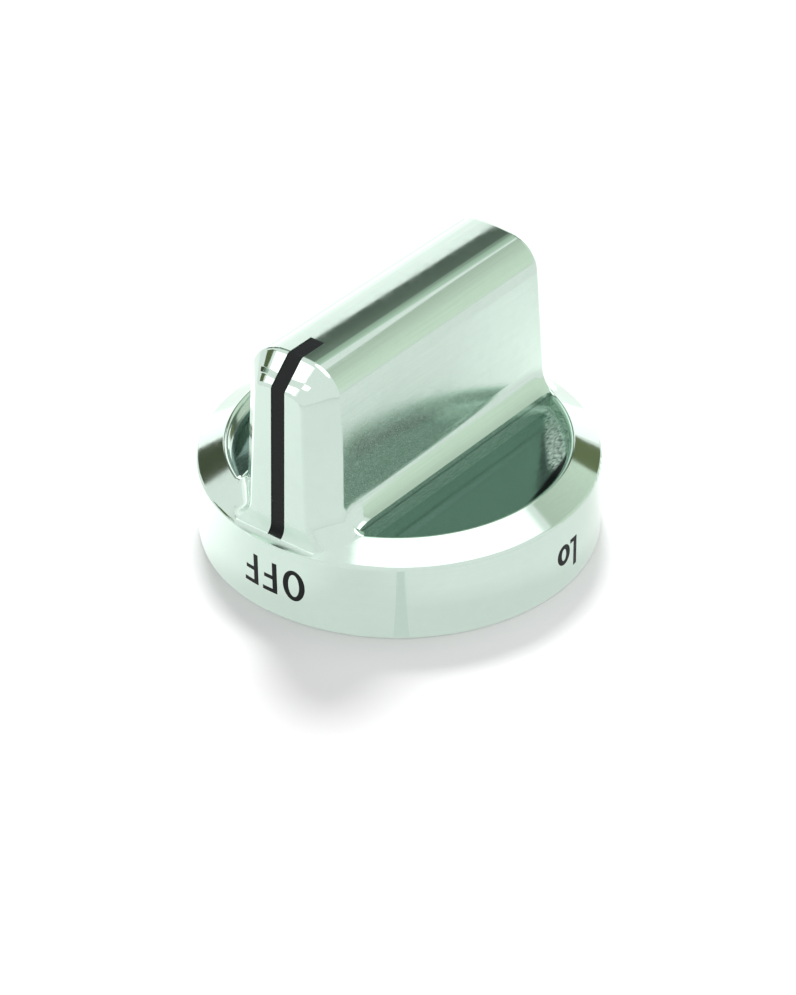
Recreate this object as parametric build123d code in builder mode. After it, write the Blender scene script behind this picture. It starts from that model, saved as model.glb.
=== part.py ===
from build123d import *
import os
from math import radians, tan

# Stove knob: a die-cast metal knob with a tall grip across it, a black pointer line let into
# the nose of the grip, and a moulded insert behind it that takes the valve stem.
# Millimetres. The back rim stands on z = 0, +Z runs out along the stem towards the hand,
# the grip lies along Y and the pointer line is on its -Y end.

# Rim, sloping ring and recess
rim_radius = 25.4
rim_height = 10.4
rim_wall = 2.0
rim_edge_round = 0.6
rim_foot_round = 0.4
ring_width = 4.1
ring_rise = 2.35
ring_lip_round = 0.5
recess_depth = 2.35
recess_wall_lean = 0.3
recess_corner_round = 0.7
recess_gap = 1.6
floor_wall = 1.7
cavity_corner_round = 1.2

# Grip, with its width and its ends' distance from the rim taken at the floor of the recess
grip_width = 15.4
grip_end_setback = 1.95
ridge_height = 34.2
grip_draft = 2.5
grip_shoulder = 4.7
ridge_crown = 25.0
grip_bevel = 3.25
grip_edge_round = 0.9
foot_cove = 4.0
end_cove = 1.7
grip_trim = 0.4
foot_bed_round = 3.0
foot_bed_drop = 0.02
end_trim = 0.02

# Hollow of the grip
pocket_wall = 2.0
pocket_end_wall = 3.0
pocket_top_wall = 2.6
pocket_shoulder = 3.0
pocket_bevel = 2.4

# Pointer line
pointer_width = 2.1
pointer_groove_depth = 0.8
pointer_sink = 0.12
pointer_foot_gap = 0.3
pointer_ridge_length = 4.1

# Valve stem that the knob is made for: round, with one flat at its end
stem_diameter = 6.0
stem_across_flat = 4.6
socket_clearance = 0.02
lead_in_clearance = 0.2
clip_preload = 0.2

# Moulded insert
hub_radius = 6.2
hub_setback = 1.0
hub_edge_round = 0.5
mouth_bevel = 0.5
lead_in_length = 5.0
socket_depth = 19.0
socket_floor = 1.8
flange_thickness = 2.4
flange_width = 22.0
flange_length = 38.0
flange_corner = 6.0
tongue_length = 17.0
tongue_clearance = 0.15
tongue_shoulder = 1.0
gusset_thickness = 1.6
gusset_reach = 3.2
gusset_drop = 3.4

# Spring clip, bent over the web behind the stem's flat
clip_thickness = 0.35
clip_width = 3.2
clip_leg = 9.0
clip_spare_travel = 0.05
web_thickness = 1.2
web_setback = 0.6
window_side_gap = 0.2
window_depth_gap = 0.75
window_end_gap = 0.6

# Fixing screws and the bosses that take them
screw_spacing = 26.0
screw_radius = 1.45
screw_length = 10.0
screw_point = 0.8
screw_head_radius = 2.8
screw_head_height = 2.0
screw_head_round = 0.8
recess_slot_width = 0.8
recess_slot_length = 3.2
recess_slot_depth = 1.1
screw_hole_gap = 0.05
flange_hole_gap = 0.25
boss_radius = 3.4
boss_web = 1.6
boss_hole_spare = 1.0

# Places worked out from the sizes above
ring_inner_radius = rim_radius - ring_width
lip_height = rim_height + ring_rise
floor_height = lip_height - recess_depth
recess_radius = ring_inner_radius - recess_wall_lean
ceiling_height = floor_height - floor_wall
cavity_radius = rim_radius - rim_wall
draft_slope = tan(radians(grip_draft))
grip_length = 2 * (rim_radius - grip_end_setback)
recess_side = grip_width / 2 + recess_gap
mouth_rise = recess_depth + foot_cove
mouth_radius = recess_radius + recess_wall_lean * mouth_rise / recess_depth
apron_radius = rim_radius + 2 * foot_cove
apron_height = lip_height - (apron_radius - ring_inner_radius) * ring_rise / ring_width

socket_radius = stem_diameter / 2 + socket_clearance
lead_in_radius = stem_diameter / 2 + lead_in_clearance
lead_in_top = hub_setback + lead_in_length
socket_top = hub_setback + socket_depth
clip_face = stem_across_flat - stem_diameter / 2 - clip_preload
clip_back = clip_face + clip_thickness
web_near = clip_back + clip_preload + clip_spare_travel
web_far = web_near + web_thickness
web_tip = lead_in_top + web_setback
web_round = web_thickness / 2
web_round_height = web_tip + web_round
bend_radius = (web_far - clip_back) / 2
bend_centre = (web_far + clip_back) / 2
window_width = clip_width + 2 * window_side_gap
window_far = web_far + clip_thickness + window_depth_gap
window_top = web_round_height + clip_leg + window_end_gap
flange_bottom = ceiling_height - flange_thickness
hub_height = flange_bottom - hub_setback
screw_offset = screw_spacing / 2
boss_hole_depth = screw_length - flange_thickness + boss_hole_spare


def grip_end(height):
    """Distance of the drafted end face of the grip from the stem's axis at a height."""
    return grip_length / 2 - (height - floor_height) * draft_slope


def nearest_corner(sketch, across, up):
    """The corner of a sketch that lies nearest to a place on its own plane."""
    return sketch.vertices().sort_by_distance((across, up, 0))[0]


def drafted_bar(side_inset, end_inset, bottom, top, shoulder, bevel):
    """A bar with the grip's draft, its long top edges rounded and each end face bevelled round."""
    spread = 2 * (floor_height - bottom) * draft_slope
    width = grip_width - 2 * side_inset + spread
    length = grip_length - 2 * end_inset + spread
    with BuildPart() as bar:
        with BuildSketch(Plane.XY.offset(bottom)):
            Rectangle(width, length)
        extrude(amount=top - bottom, taper=grip_draft)
        with BuildSketch(Plane.XZ):
            with Locations((0, top - ridge_crown)):
                Circle(ridge_crown)
        extrude(amount=length, both=True, mode=Mode.INTERSECT)
        fillet(bar.edges().filter_by(Axis.Y).group_by(Axis.Z)[-1], radius=shoulder)
        if bevel:
            for end_face in (bar.faces().sort_by(Axis.Y)[0], bar.faces().sort_by(Axis.Y)[-1]):
                chamfer(end_face.edges().sort_by(Axis.Z)[1:], length=bevel)
    return bar.part


# Bed that the grip stands on: level inside the ring and sloping with the ring outside it
with BuildPart() as foot_bed:
    with BuildSketch(Plane.XZ) as bed_section:
        with BuildLine():
            Polyline(
                (0, ceiling_height - foot_cove),
                (apron_radius, ceiling_height - foot_cove),
                (apron_radius, apron_height - foot_bed_drop),
                (ring_inner_radius, lip_height - foot_bed_drop),
                (0, lip_height - foot_bed_drop),
                close=True,
            )
        make_face()
        fillet(nearest_corner(bed_section, ring_inner_radius, lip_height), radius=foot_bed_round)
    revolve(axis=Axis.Z)

# Grip with the cove that runs round its foot
with BuildPart() as grip_form:
    add(drafted_bar(0, -end_trim, ceiling_height, ridge_height, grip_shoulder, grip_bevel))
    bevel_start = grip_end(ridge_height) - grip_bevel - grip_edge_round
    bevel_edges = [
        edge
        for edge in grip_form.edges()
        if abs(edge.center().Y) > bevel_start and edge.center().Z > ceiling_height + grip_edge_round
    ]
    fillet(bevel_edges, radius=grip_edge_round)
    add(foot_bed.part)
    foot_edges = [
        edge
        for edge in grip_form.edges()
        if edge.bounding_box().min.Z > ceiling_height
        and edge.bounding_box().max.Z < lip_height + grip_edge_round
        and edge.bounding_box().max.X < recess_side
        and edge.bounding_box().min.X > -recess_side
    ]
    fillet(foot_edges, radius=foot_cove)
    with BuildSketch(Plane.XY.offset(ceiling_height)):
        Circle(rim_radius - grip_trim)
    extrude(amount=ridge_height, mode=Mode.INTERSECT)

# Cut that carries the end face of the grip down through the ring and out to the rim
with BuildPart() as end_cut:
    with BuildSketch(Plane.YZ) as cut_outline:
        with BuildLine():
            Polyline(
                (-rim_radius - foot_cove, rim_height),
                (-grip_end(rim_height), rim_height),
                (-grip_end(ridge_height + end_cove), ridge_height + end_cove),
                (-rim_radius - foot_cove, ridge_height + end_cove),
                close=True,
            )
        make_face()
        fillet(nearest_corner(cut_outline, -grip_end(rim_height), rim_height), radius=end_cove)
    extrude(amount=rim_radius, both=True)
    mirror(about=Plane.XZ)

# Recess: a round hollow with the band that the grip stands on left across it
with BuildPart() as recess:
    with BuildSketch(Plane.XZ) as recess_section:
        with BuildLine():
            Polyline(
                (0, floor_height),
                (recess_radius, floor_height),
                (mouth_radius, floor_height + mouth_rise),
                (0, floor_height + mouth_rise),
                close=True,
            )
        make_face()
        fillet(nearest_corner(recess_section, recess_radius, floor_height), radius=recess_corner_round)
    revolve(axis=Axis.Z)
    with Locations((0, 0, floor_height)):
        Box(
            2 * recess_side,
            grip_length,
            mouth_rise,
            align=(Align.CENTER, Align.CENTER, Align.MIN),
            mode=Mode.SUBTRACT,
        )

# Section of the ring with a sharp lip, and the same section with its lip rounded
with BuildSketch(Plane.XZ) as sharp_lip:
    with BuildLine():
        Polyline(
            (recess_radius, floor_height),
            (ring_inner_radius, lip_height),
            (rim_radius, rim_height),
            (rim_radius, ceiling_height),
            (recess_radius, ceiling_height),
            close=True,
        )
    make_face()
with BuildSketch(Plane.XZ) as rounded_lip:
    add(sharp_lip.sketch)
    fillet(nearest_corner(rounded_lip, ring_inner_radius, lip_height), radius=ring_lip_round)

# Trim that rounds the lip of the recess, clear of the cove at the foot of the grip
with BuildPart() as lip_trim:
    with BuildSketch(Plane.XZ):
        add(sharp_lip.sketch)
        add(rounded_lip.sketch, mode=Mode.SUBTRACT)
    revolve(axis=Axis.Z)
    Box(2 * (recess_side + ring_lip_round), 2 * rim_radius, 4 * rim_radius, mode=Mode.SUBTRACT)

# Shell: rim and ring turned as one section, with the grip on it and the recess either side
with BuildPart() as knob_shell:
    with BuildSketch(Plane.XZ) as rim_section:
        with BuildLine():
            Polyline(
                (0, 0),
                (rim_radius, 0),
                (rim_radius, rim_height),
                (ring_inner_radius, lip_height),
                (0, lip_height),
                close=True,
            )
        make_face()
        fillet(nearest_corner(rim_section, rim_radius, 0), radius=rim_foot_round)
        fillet(nearest_corner(rim_section, rim_radius, rim_height), radius=rim_edge_round)
    revolve(axis=Axis.Z)
    add(grip_form.part)
    add(end_cut.part, mode=Mode.SUBTRACT)
    add(recess.part, mode=Mode.SUBTRACT)
    add(lip_trim.part, mode=Mode.SUBTRACT)

# Hollow back of the rim
with BuildPart() as back_hollow:
    with BuildSketch(Plane.XZ) as hollow_section:
        with BuildLine():
            Polyline(
                (0, -floor_wall),
                (cavity_radius, -floor_wall),
                (cavity_radius, ceiling_height),
                (0, ceiling_height),
                close=True,
            )
        make_face()
        hollow_corner = nearest_corner(hollow_section, cavity_radius, ceiling_height)
        fillet(hollow_corner, radius=cavity_corner_round)
    revolve(axis=Axis.Z)

# Hollow of the grip, left solid where the two screw bosses and their webs stand
with BuildPart() as grip_pocket:
    pocket_top = ridge_height - pocket_top_wall
    add(
        drafted_bar(
            pocket_wall, pocket_end_wall, ceiling_height, pocket_top, pocket_shoulder, pocket_bevel
        )
    )
    with Locations((0, -screw_offset, ceiling_height), (0, screw_offset, ceiling_height)):
        Cylinder(
            boss_radius,
            grip_length,
            align=(Align.CENTER, Align.CENTER, Align.MIN),
            mode=Mode.SUBTRACT,
        )
        Box(
            grip_width,
            boss_web,
            grip_length,
            align=(Align.CENTER, Align.CENTER, Align.MIN),
            mode=Mode.SUBTRACT,
        )

# Side outline of the grip in the plane of the pointer line, and two outlines set in from it
with BuildSketch() as nose_outline:
    with BuildLine():
        Polyline(
            (-rim_radius - foot_cove, rim_height),
            (-grip_end(rim_height), rim_height),
            (-grip_end(ridge_height), ridge_height),
            (grip_length, ridge_height),
            (grip_length, -ridge_height),
            (-rim_radius - foot_cove, -ridge_height),
            close=True,
        )
    make_face()
    fillet(nearest_corner(nose_outline, -grip_end(rim_height), rim_height), radius=end_cove)
    chamfer(nearest_corner(nose_outline, -grip_end(ridge_height), ridge_height), length=grip_bevel)
with BuildSketch() as line_face_outline:
    offset(nose_outline.sketch, amount=-pointer_sink, kind=Kind.INTERSECTION)
with BuildSketch() as groove_floor_outline:
    offset(nose_outline.sketch, amount=-pointer_groove_depth, kind=Kind.INTERSECTION)

# Span of the pointer line, from just above the rim to a little way along the ridge
pointer_foot = rim_height + pointer_foot_gap
pointer_end = grip_bevel + pointer_ridge_length - grip_end(ridge_height)
with BuildSketch() as pointer_span:
    with BuildLine():
        Polyline(
            (-rim_radius - foot_cove, pointer_foot),
            (-rim_radius - foot_cove, ridge_height + foot_cove),
            (pointer_end, ridge_height + foot_cove),
            (pointer_end, pointer_foot),
            close=True,
        )
    make_face()

# Groove for the pointer line
with BuildPart() as pointer_groove:
    with BuildSketch(Plane.YZ):
        add(pointer_span.sketch)
        add(groove_floor_outline.sketch, mode=Mode.SUBTRACT)
    extrude(amount=pointer_width / 2, both=True)

# Pointer line, its face a little below the metal round it
with BuildPart() as pointer_inlay:
    with BuildSketch(Plane.YZ):
        add(pointer_span.sketch)
        add(groove_floor_outline.sketch, mode=Mode.SUBTRACT)
        add(line_face_outline.sketch, mode=Mode.INTERSECT)
    extrude(amount=pointer_width / 2, both=True)
pointer_inlay.part.label = "pointer_inlay"

# Shell hollowed, grooved and drilled for the screws
with knob_shell:
    add(back_hollow.part, mode=Mode.SUBTRACT)
    add(grip_pocket.part, mode=Mode.SUBTRACT)
    add(pointer_groove.part, mode=Mode.SUBTRACT)
    with Locations((0, -screw_offset, ceiling_height), (0, screw_offset, ceiling_height)):
        Cylinder(
            screw_radius + screw_hole_gap,
            boss_hole_depth,
            align=(Align.CENTER, Align.CENTER, Align.MIN),
            mode=Mode.SUBTRACT,
        )
knob_shell.part.label = "knob_shell"

# Moulded insert: flange on the ceiling of the shell, tongue in the grip, hub round the socket
with BuildPart() as stem_insert:
    with Locations((0, 0, hub_setback)):
        Cylinder(hub_radius, hub_height, align=(Align.CENTER, Align.CENTER, Align.MIN))
    fillet(stem_insert.edges().group_by(Axis.Z)[0], radius=hub_edge_round)
    for gusset_plane in (Plane.XZ, Plane.YZ):
        with BuildSketch(gusset_plane):
            with BuildLine():
                Polyline(
                    (-hub_radius - gusset_reach, flange_bottom),
                    (hub_radius + gusset_reach, flange_bottom),
                    (0, flange_bottom - gusset_drop * (1 + hub_radius / gusset_reach)),
                    close=True,
                )
            make_face()
            with Locations((0, hub_setback + hub_edge_round)):
                Rectangle(
                    2 * grip_length,
                    grip_length,
                    align=(Align.CENTER, Align.MIN),
                    mode=Mode.INTERSECT,
                )
        extrude(amount=gusset_thickness / 2, both=True)
    with BuildSketch(Plane.XY.offset(flange_bottom)):
        RectangleRounded(flange_width, flange_length, flange_corner)
        with Locations((0, -screw_offset), (0, screw_offset)):
            Circle(screw_radius + flange_hole_gap, mode=Mode.SUBTRACT)
    extrude(amount=flange_thickness)
    tongue_end_inset = (grip_length - tongue_length) / 2
    add(
        drafted_bar(
            pocket_wall + tongue_clearance,
            tongue_end_inset,
            ceiling_height,
            socket_top + socket_floor,
            tongue_shoulder,
            0,
        )
    )

    # Socket: bevelled round mouth and lead-in, then the round bore that the flat is left in
    with BuildSketch(Plane.XZ):
        with BuildLine():
            Polyline(
                (0, hub_setback),
                (lead_in_radius + mouth_bevel, hub_setback),
                (lead_in_radius, hub_setback + mouth_bevel),
                (lead_in_radius, lead_in_top),
                (socket_radius, lead_in_top),
                (socket_radius, socket_top),
                (0, socket_top),
                close=True,
            )
        make_face()
    revolve(axis=Axis.Z, mode=Mode.SUBTRACT)
    with BuildSketch(Plane.XY.offset(web_tip)):
        with Locations((0, web_near)):
            Rectangle(2 * socket_radius, socket_radius, align=(Align.CENTER, Align.MIN))
    extrude(amount=socket_top - web_tip)

    # Slot behind the flat for the clip, open at the mouth, with the round-nosed web down its middle
    with BuildSketch(Plane.XY.offset(hub_setback)):
        with Locations((0, web_near)):
            Rectangle(window_width, window_far - web_near, align=(Align.CENTER, Align.MIN))
    extrude(amount=window_top - hub_setback, mode=Mode.SUBTRACT)
    with BuildSketch(Plane.YZ):
        with Locations(((web_near + web_far) / 2, web_round_height)):
            Circle(web_round)
            Rectangle(
                web_thickness,
                window_top - web_round_height,
                align=(Align.CENTER, Align.MIN),
            )
    extrude(amount=window_width / 2, both=True)
stem_insert.part.label = "stem_insert"

# Spring clip pushed up over the web, its inner leg standing off the web so that it can give
with BuildPart() as spring_clip:
    with BuildSketch(Plane.YZ):
        with Locations((bend_centre, web_round_height)):
            Circle(bend_radius + clip_thickness)
            Rectangle(
                2 * (bend_radius + clip_thickness),
                clip_leg,
                align=(Align.CENTER, Align.MIN),
            )
            Circle(bend_radius, mode=Mode.SUBTRACT)
            Rectangle(
                2 * bend_radius,
                clip_leg,
                align=(Align.CENTER, Align.MIN),
                mode=Mode.SUBTRACT,
            )
    extrude(amount=clip_width / 2, both=True)
spring_clip.part.label = "spring_clip"


def fixing_screw(along):
    """A cross-recessed screw under the flange, standing along the grip from the stem's axis."""
    with BuildPart() as screw:
        with Locations((0, along, flange_bottom)):
            Cylinder(screw_radius, screw_length, align=(Align.CENTER, Align.CENTER, Align.MIN))
        chamfer(screw.edges().group_by(Axis.Z)[-1], length=screw_point)
        with Locations((0, along, flange_bottom)):
            Cylinder(
                screw_head_radius,
                screw_head_height,
                align=(Align.CENTER, Align.CENTER, Align.MAX),
            )
        fillet(screw.edges().group_by(Axis.Z)[0], radius=screw_head_round)
        with Locations((0, along, flange_bottom - screw_head_height)):
            for length, width in (
                (recess_slot_length, recess_slot_width),
                (recess_slot_width, recess_slot_length),
            ):
                Box(
                    length,
                    width,
                    recess_slot_depth,
                    align=(Align.CENTER, Align.CENTER, Align.MIN),
                    mode=Mode.SUBTRACT,
                )
    return screw.part


fixing_screw_1 = fixing_screw(-screw_offset)
fixing_screw_1.label = "fixing_screw_1"
fixing_screw_2 = fixing_screw(screw_offset)
fixing_screw_2.label = "fixing_screw_2"

os.makedirs("parts", exist_ok=True)
export_step(knob_shell.part, "parts/knob_shell.step")
export_step(pointer_inlay.part, "parts/pointer_inlay.step")
export_step(stem_insert.part, "parts/stem_insert.step")
export_step(spring_clip.part, "parts/spring_clip.step")
export_step(fixing_screw_1, "parts/fixing_screw_1.step")
export_step(fixing_screw_2, "parts/fixing_screw_2.step")
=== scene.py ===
"""Looks of a die-cast cooktop knob: metal, plastic and steel finishes, rim lettering and a plain studio."""

import math
from types import SimpleNamespace

import bmesh
import bpy
from bpy.props import FloatProperty, FloatVectorProperty, IntProperty, PointerProperty
from bpy.types import Operator, Panel, PropertyGroup
from mathutils import Matrix, Vector


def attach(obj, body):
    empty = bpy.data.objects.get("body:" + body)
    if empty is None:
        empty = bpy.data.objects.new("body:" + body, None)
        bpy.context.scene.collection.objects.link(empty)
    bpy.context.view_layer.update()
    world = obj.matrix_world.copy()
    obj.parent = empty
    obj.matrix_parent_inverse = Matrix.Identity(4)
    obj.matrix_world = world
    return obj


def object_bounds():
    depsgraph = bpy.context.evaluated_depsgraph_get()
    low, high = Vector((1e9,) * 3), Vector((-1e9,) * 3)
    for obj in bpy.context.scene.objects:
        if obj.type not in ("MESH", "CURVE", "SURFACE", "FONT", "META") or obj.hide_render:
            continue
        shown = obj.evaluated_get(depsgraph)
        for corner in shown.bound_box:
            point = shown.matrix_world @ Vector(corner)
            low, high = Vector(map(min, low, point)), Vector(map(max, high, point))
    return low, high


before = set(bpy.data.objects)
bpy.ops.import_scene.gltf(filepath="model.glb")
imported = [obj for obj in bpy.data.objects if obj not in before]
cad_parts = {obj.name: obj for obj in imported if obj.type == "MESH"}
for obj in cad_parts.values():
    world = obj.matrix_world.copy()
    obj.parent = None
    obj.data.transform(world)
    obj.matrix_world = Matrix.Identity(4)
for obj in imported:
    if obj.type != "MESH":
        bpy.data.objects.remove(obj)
CAD_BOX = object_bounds()

bl_info = {
    "name": "Stove Knob Looks",
    "version": (1, 0, 0),
    "blender": (4, 5, 0),
    "location": "3D Viewport > Sidebar > Stove Knob",
    "description": "Finishes, rim lettering and studio stage for a die-cast stove knob",
    "category": "Object",
}

MM = 0.001

# The rim's radius is read from the frame; the casting's other sizes are those of its solids
RIM_RADIUS = CAD_BOX[1].x
FLOOR_HEIGHT = 10.4 * MM
LIP_HEIGHT = 12.75 * MM
LIP_RADIUS = 21.3 * MM
RECESS_SIDE = 9.3 * MM
BACK_CEILING = 8.7 * MM
BACK_RADIUS = 23.45 * MM

# Sideways part of the sloping ring's normal
RING_LEAN = 0.497

# Azimuths in degrees from the pointer towards +X
VIEW_AZIMUTH = 39.0
FAR_RIGHT_AZIMUTH = VIEW_AZIMUTH + 90.0
CORNER_AZIMUTH = 103.0

# Limits of the masks on the casting: where each begins to change, and where it has changed
RIM_EDGE = (RIM_RADIUS - 0.16 * MM, RIM_RADIUS - 0.05 * MM)
FLOOR_TOP = (FLOOR_HEIGHT + 0.3 * MM, FLOOR_HEIGHT + 0.5 * MM)
BACK_TOP = (BACK_CEILING + 0.3 * MM, BACK_CEILING + 0.6 * MM)
BACK_WALL = (BACK_RADIUS, BACK_RADIUS + 0.3 * MM)
LIP_EDGE = (LIP_RADIUS - 0.1 * MM, LIP_RADIUS)
LIP_BASE = (LIP_HEIGHT - 0.7 * MM, LIP_HEIGHT - 0.5 * MM)
WALL_BASE = (FLOOR_HEIGHT + 0.1 * MM, FLOOR_HEIGHT + 0.4 * MM)
WALL_TOP = (LIP_HEIGHT - 0.45 * MM, LIP_HEIGHT - 0.25 * MM)
WALL_SIDE = (RECESS_SIDE - 0.1 * MM, RECESS_SIDE + 0.3 * MM)
# Crease limits place the painted shade line under the grip's long cove
CREASE_TOP = (LIP_HEIGHT - 0.07 * MM, LIP_HEIGHT - 0.01 * MM)
CREASE_SIDE = (RECESS_SIDE - 0.03 * MM, RECESS_SIDE + 0.03 * MM)
# Corner limits place the painted shade line in the front corner; the two after them place the streaks
# painted as highlights
CORNER_REACH = (19.1 * MM, 19.6 * MM)
SCUFF_SHEEN_REACH = (18.0 * MM, 18.8 * MM)
SCUFF_SHEEN_BACK = (7.0 * MM, 10.0 * MM)
FAR_SIDE = (-1.0 * MM, 4.0 * MM)
FOOT_ALONG = (22.4 * MM, 23.2 * MM)
FOOT_ACROSS = (6.0 * MM, 9.0 * MM)
FOOT_TOP = (12.4 * MM, 13.4 * MM)
FOOT_RADIUS = (24.3 * MM, 25.2 * MM)

# The same for the upward and the sideways part of a normal
LEVEL = (0.5, 0.7)
STEEP = (0.78, 0.85)
FLANK = (0.90, 0.99)

# The same for the noise behind the finest scratches, the scuffed streaks with their painted highlights and
# the marks of handling
FLANK_GRAINS = (0.55, 0.59)
FLOOR_GRAINS = (0.60, 0.64)
STREAKS = (0.32, 0.66)
CLOUDS = (0.38, 0.68)

# Noise cells in a metre, along each axis
STREAK_CELLS = (9000.0, 1300.0, 1.0)
TURNING_CELLS = 6.0
BRUSHING_CELLS = 90.0
ROLLING_CELLS = 120.0
CLOUD_CELLS, SMEAR_CELLS = 90.0, 900.0
FLOOR_CELLS = 1500.0

# The camera fitted to the photograph, in metres and degrees
CAMERA_PLACE = (0.23490253, -0.28937470, 0.26192562)
CAMERA_ANGLES = (55.23400836, 0.57340772, 38.70198885)

# The key lamp one metre away, in degrees
KEY_AZIMUTH, KEY_ELEVATION = -137.0, 54.0

# The soft card in front, and the strip on the floor whose reflection draws the rim's streak
FRONT_AZIMUTH, FRONT_DISTANCE = -38.0, 1.10
FRONT_MIDDLE, FRONT_HALF = 1.02, 0.48
STRIP_AZIMUTH, STRIP_DISTANCE, STRIP_RISE = 39.1, 34.5 * MM, 0.3 * MM
STRIP_HALF_LENGTH, STRIP_HALF_WIDTH = 9.0 * MM, 1.0 * MM

# The floor's half width, and how far a soft-edged glow and the softbox run past their reach
FLOOR_HALF = 4.0
PAST_REACH, PANEL_MARGIN = 1.02, 1.05

# What the floor shows to gloss: its level left and right, and what is added close to the knob
MIRRORED_SHARE = 0.75
MIRRORED_LEFT, MIRRORED_RIGHT = 1.2, 0.96
MIRRORED_WIDTH = (-0.07, 0.06)
MIRRORED_EXTRA = 0.6
EXTRA_RADIUS = (0.045, 0.09)
EXTRA_SIDE = (-0.012, 0.014)
EXTRA_DIRECTION = (-0.8, 0.6, 0.0)


# Settings a user would change


def tint(name, description, default):
    """A colour setting."""
    return FloatVectorProperty(
        name=name, description=description, subtype="COLOR", size=3, min=0.0, max=1.0, default=default,
    )


def length(name, description, default):
    """A size or a place, in metres."""
    return FloatProperty(
        name=name, description=description, subtype="DISTANCE", unit="LENGTH", default=default,
    )


def share(name, description, default):
    """A share from 0 to 1."""
    return FloatProperty(
        name=name, description=description, subtype="FACTOR", min=0.0, max=1.0, default=default,
    )


def amount(name, description, default):
    """A strength or a power, which can't be less than nothing."""
    return FloatProperty(name=name, description=description, min=0.0, default=default)


class ShellSettings(PropertyGroup):
    """Colour and surface of the casting"""

    metal: tint("Metal", "Reflected colour of the polished metal", (0.64, 0.77, 0.69))
    floor_metal: tint(
        "Recess Metal", "Reflected colour of the brushed floor of the recess", (0.168, 0.275, 0.235),
    )
    fall_start: length(
        "Fall Start", "Radius from which the brushed floor falls away towards its wall", 15.5 * MM,
    )
    fall_end: length("Fall End", "Radius at which the brushed floor meets its wall", 21.0 * MM)
    fall_slope: FloatProperty(
        name="Fall Slope", description="Slope of the brushed floor where it meets its wall",
        min=0.0, max=1.0, default=0.36,
    )
    wall_climb: amount("Wall Climb", "How far the normals of the recess's left wall turn up", 1.5)
    cove_flatten: share("Cove Flatten", "Share of the upward turn taken from the small end coves", 0.7)
    bare_metal: tint(
        "Bare Metal", "Reflected colour of the bare casting inside the rim", (0.46, 0.47, 0.46),
    )
    # Colour of the painted shade lines in the recess's corners
    corner_shade: tint(
        "Corner Dark", "Colour of the dark lines in the recess's corners", (0.012, 0.02, 0.018),
    )
    # Strength of the painted shade line under the grip's long cove
    crease_shade_share: share("Crease Share", "Strength of the dark line under the grip's long cove", 0.4)
    lip_ease: length("Lip Ease", "Width over which the ring's lip turns level", 0.30 * MM)
    polish: share("Polish", "Roughness of the polished ring and grip", 0.06)
    flank_roughness: share("Flank Roughness", "Roughness of the two long sides of the grip", 0.13)
    haze_roughness: share(
        "Haze Roughness", "Roughness of the finest scratches on the sides and the floor", 0.62,
    )
    foot_roughness: share("Foot Roughness", "Roughness of the small cove under each end of the grip", 0.3)
    rim_roughness: share("Rim Roughness", "Roughness between the turning lines of the rim", 0.07)
    floor_roughness: share("Floor Roughness", "Roughness between the brush lines of the floor", 0.1)
    back_roughness: share("Back Roughness", "Roughness of the bare casting inside the rim", 0.48)
    scuff_roughness: share("Scuff Roughness", "Roughness of the scuffed end of the recess floor", 0.5)
    rim_tilt: amount("Rim Tilt", "How far the turning lines tip the rim's normal", 0.16)
    polish_tilt: amount("Polish Tilt", "How far the brush lines tip the polished normal", 0.012)
    flank_tilt: amount("Flank Tilt", "How far the brush lines tip the flank's normal", 0.03)
    floor_tilt: amount("Floor Tilt", "How far the brush lines tip the floor's normal", 0.13)
    speckle: length("Speckle", "Size of the finest scratches", 0.04 * MM)
    cast_grain: length("Cast Grain", "Size of the bare casting's grain", 0.5 * MM)
    rim_line: length("Rim Line", "Width of one turning line on the rim", 0.06 * MM)
    brush_line: length("Brush Line", "Width of one brush line on the floor and the grip", 0.12 * MM)


class PointerSettings(PropertyGroup):
    """Gloss black of the pointer line and of the ink"""

    black: tint("Black", "Colour of the pointer line", (0.0035, 0.005, 0.0055))
    ink: tint("Ink", "Colour of the words on the rim", (0.006, 0.009, 0.008))
    gloss: share("Pointer Roughness", "Roughness of the pointer line", 0.22)


class InsertSettings(PropertyGroup):
    """Moulded insert behind the knob"""

    plastic: tint("Plastic", "Colour of the moulded insert", (0.022, 0.022, 0.024))
    grain: length("Grain", "Size of the moulded texture", 0.35 * MM)
    roughness: share("Roughness", "Roughness of the moulded surface", 0.5)


class HardwareSettings(PropertyGroup):
    """Spring clip and fixing screws"""

    spring: tint("Spring Steel", "Colour of the clip's strip", (0.56, 0.55, 0.52))
    zinc: tint("Zinc Plate", "Colour of the plated screws", (0.60, 0.61, 0.64))
    rolling_line: length("Rolling Line", "Width of one rolling line on the strip", 0.08 * MM)


class LetteringSettings(PropertyGroup):
    """Words printed on the rim, upside down when the knob stands on its back"""

    cap_height: length("Cap Height", "Height of the capital letters of OFF", 4.45 * MM)
    low_height: length("Low Cap Height", "Height of the capital letter of Lo", 4.2 * MM)
    stem: length("Stem", "Width of an upright stroke", 0.7 * MM)
    arm: length("Arm", "Width of a level stroke", 0.55 * MM)
    ink_rise: length("Ink Rise", "How far the ink stands on the metal", 0.008 * MM)
    ink_root: length("Ink Root", "How far the ink's back lies inside the metal", 0.03 * MM)
    strip: length("Strip", "Width of the strips that follow the rim's curve", 0.3 * MM)
    ring_points: IntProperty(
        name="Ring Points", description="Points round the letter O", min=12, default=48,
    )


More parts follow.
